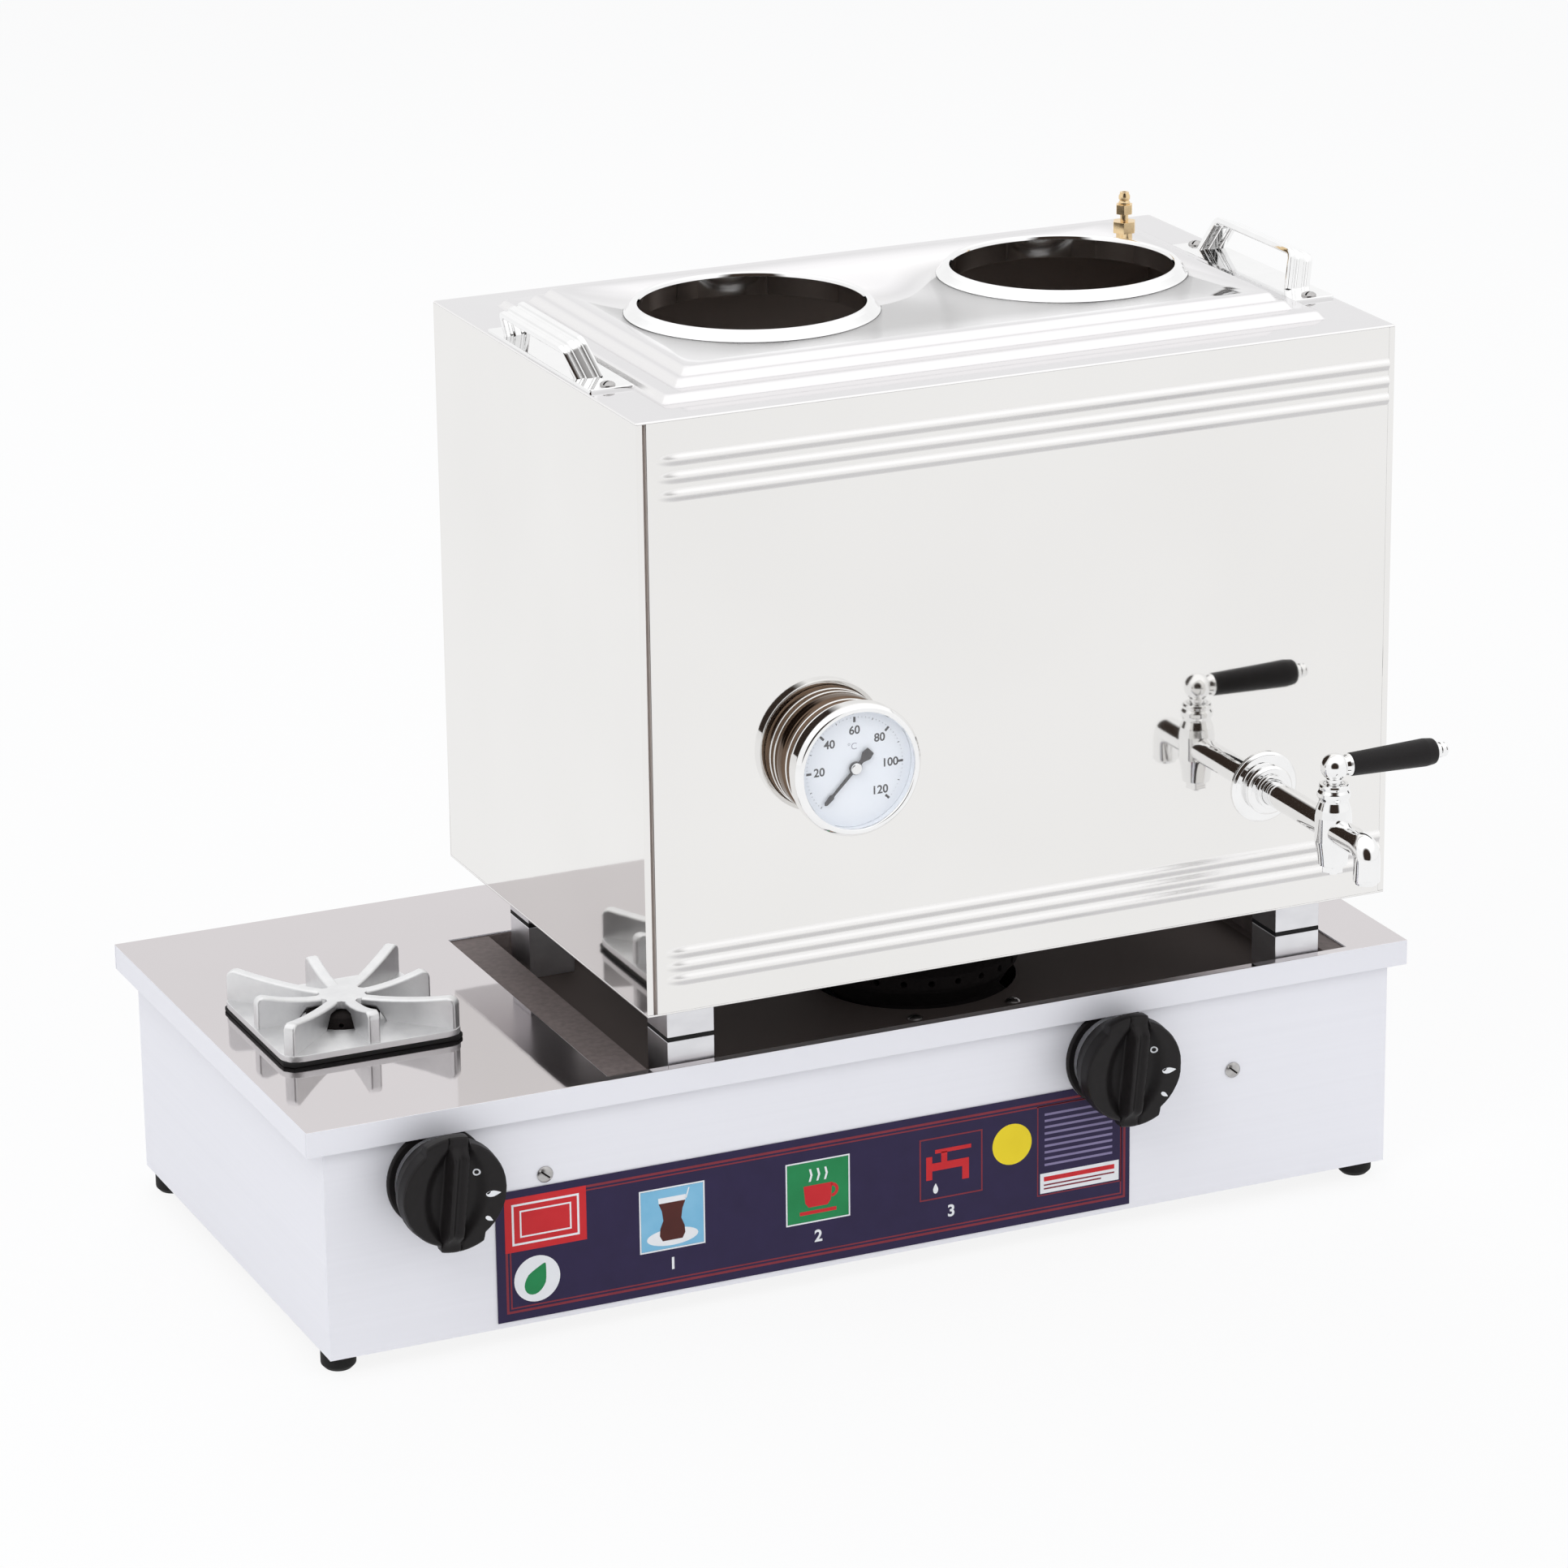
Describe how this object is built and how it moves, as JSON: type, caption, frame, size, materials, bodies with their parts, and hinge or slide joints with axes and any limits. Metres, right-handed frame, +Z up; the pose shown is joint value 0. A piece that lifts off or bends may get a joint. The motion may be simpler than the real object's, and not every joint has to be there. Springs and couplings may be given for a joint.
{
  "type": "gas tea urn",
  "caption": "Gas tea boiler with teapot holes, a plug tap and a dial thermometer, standing on posts in the well of a stove base with knobs and a side burner.",
  "frame": {"origin": "in the plane of the feet, under the middle of the stove's lid", "axes": "+Z up, +X along the front to the right of someone facing it, +Y to the back; the tap and knobs are on the -Y side"},
  "size_m": [0.72, 0.525, 0.6015],
  "materials": {
    "polished_steel": "mirror-polished stainless steel sheet",
    "satin_steel": "satin stainless steel sheet and tube",
    "galvanised_steel": "galvanised steel sheet and pipe",
    "screw_steel": "zinc-plated steel",
    "chrome": "polished chrome plate",
    "label": "printed navy plate with dark red lines and plain tiles",
    "black_plastic": "black heat-proof moulding",
    "black_rubber": "black rubber",
    "brass": "turned brass",
    "cast_iron": "black cast iron",
    "cast_aluminium": "rough cast aluminium",
    "dial_face": "white dial with black figures",
    "pointer_black": "black painted pointer",
    "dial_glass": "clear flat glass"
  },
  "bodies": {
    "stove": {"base_front_panel": "satin_steel", "base_back_panel": "satin_steel", "base_side_panels": "satin_steel", "base_bottom_plate": "galvanised_steel", "base_lid": "polished_steel", "well_tray": "galvanised_steel", "well_posts": "satin_steel", "post_pads": "black_rubber", "label_plate": "label", "knob_bezels": "black_plastic", "front_panel_screws": "screw_steel", "rubber_feet": "black_rubber", "foot_screws": "screw_steel", "main_burner_bowl": "cast_iron", "main_burner_cap": "cast_iron", "tray_screws": "screw_steel", "side_burner_bowl": "cast_aluminium", "side_burner_head": "cast_iron", "grate_gasket": "black_rubber", "manifold_pipe": "galvanised_steel", "inlet_pipe": "galvanised_steel", "hose_nipple": "brass", "main_valve_body": "brass", "side_valve_body": "brass", "gas_injectors": "brass", "main_feed_pipe": "brass"},
    "boiler": {"boiler_front_panel": "polished_steel", "boiler_left_side": "polished_steel", "boiler_right_side": "polished_steel", "boiler_back_panel": "polished_steel", "boiler_bottom": "polished_steel", "boiler_top": "polished_steel", "teapot_collars": "polished_steel", "boiler_legs": "satin_steel", "left_handle": "chrome", "right_handle": "chrome", "handle_screws": "screw_steel", "vent_nipple": "brass", "thermometer_case": "chrome", "thermometer_bezel": "chrome", "thermometer_dial": "dial_face", "thermometer_glass": "dial_glass", "thermometer_pocket": "brass", "tap_body": "chrome", "tap_escutcheon": "chrome", "tap_locknuts": "chrome"},
    "tap_handle": {"tap_plug": "brass", "tap_plug_nut": "chrome", "tap_lever": "chrome", "tap_grip": "black_plastic"},
    "pointer": {"thermometer_pointer": "pointer_black"},
    "grate": {"side_grate": "cast_aluminium"},
    "main_plug": {"main_valve_plug": "brass"},
    "main_knob_set": {"main_valve_stem": "brass", "main_valve_spring": "screw_steel", "main_knob": "black_plastic"},
    "side_plug": {"side_valve_plug": "brass"},
    "side_knob_set": {"side_valve_stem": "brass", "side_valve_spring": "screw_steel", "side_knob": "black_plastic"}
  },
  "joints": [
    {"name": "boiler_lift", "type": "slide", "parent": "stove", "child": "boiler", "axis": [0, 0, 1], "range_m": [0, 0.12]},
    {"name": "tap_turn", "type": "hinge", "parent": "boiler", "child": "tap_handle", "pos_m": [0.244, -0.282, 0.283], "axis": [0, 0, -1], "range_deg": [0, 90]},
    {"name": "pointer_turn", "type": "hinge", "parent": "boiler", "child": "pointer", "pos_m": [-0.036, -0.222, 0.344], "axis": [0, 1, 0], "range_deg": [0, 270], "stiffness_Nm_per_rad": 0.001},
    {"name": "grate_lift", "type": "slide", "parent": "stove", "child": "grate", "axis": [0, 0, 1], "range_m": [0, 0.06]},
    {"name": "main_valve_turn", "type": "hinge", "parent": "stove", "child": "main_plug", "pos_m": [0.158, -0.14, 0.115], "axis": [0, -1, 0], "range_deg": [0, 76]},
    {"name": "main_knob_push", "type": "slide", "parent": "main_plug", "child": "main_knob_set", "axis": [0, 1, 0], "range_m": [0, 0.0035], "stiffness_N_per_m": 700, "springref_m": -0.002},
    {"name": "side_valve_turn", "type": "hinge", "parent": "stove", "child": "side_plug", "pos_m": [-0.28, -0.14, 0.115], "axis": [0, -1, 0], "range_deg": [0, 76]},
    {"name": "side_knob_push", "type": "slide", "parent": "side_plug", "child": "side_knob_set", "axis": [0, 1, 0], "range_m": [0, 0.0035], "stiffness_N_per_m": 700, "springref_m": -0.002}
  ]
}
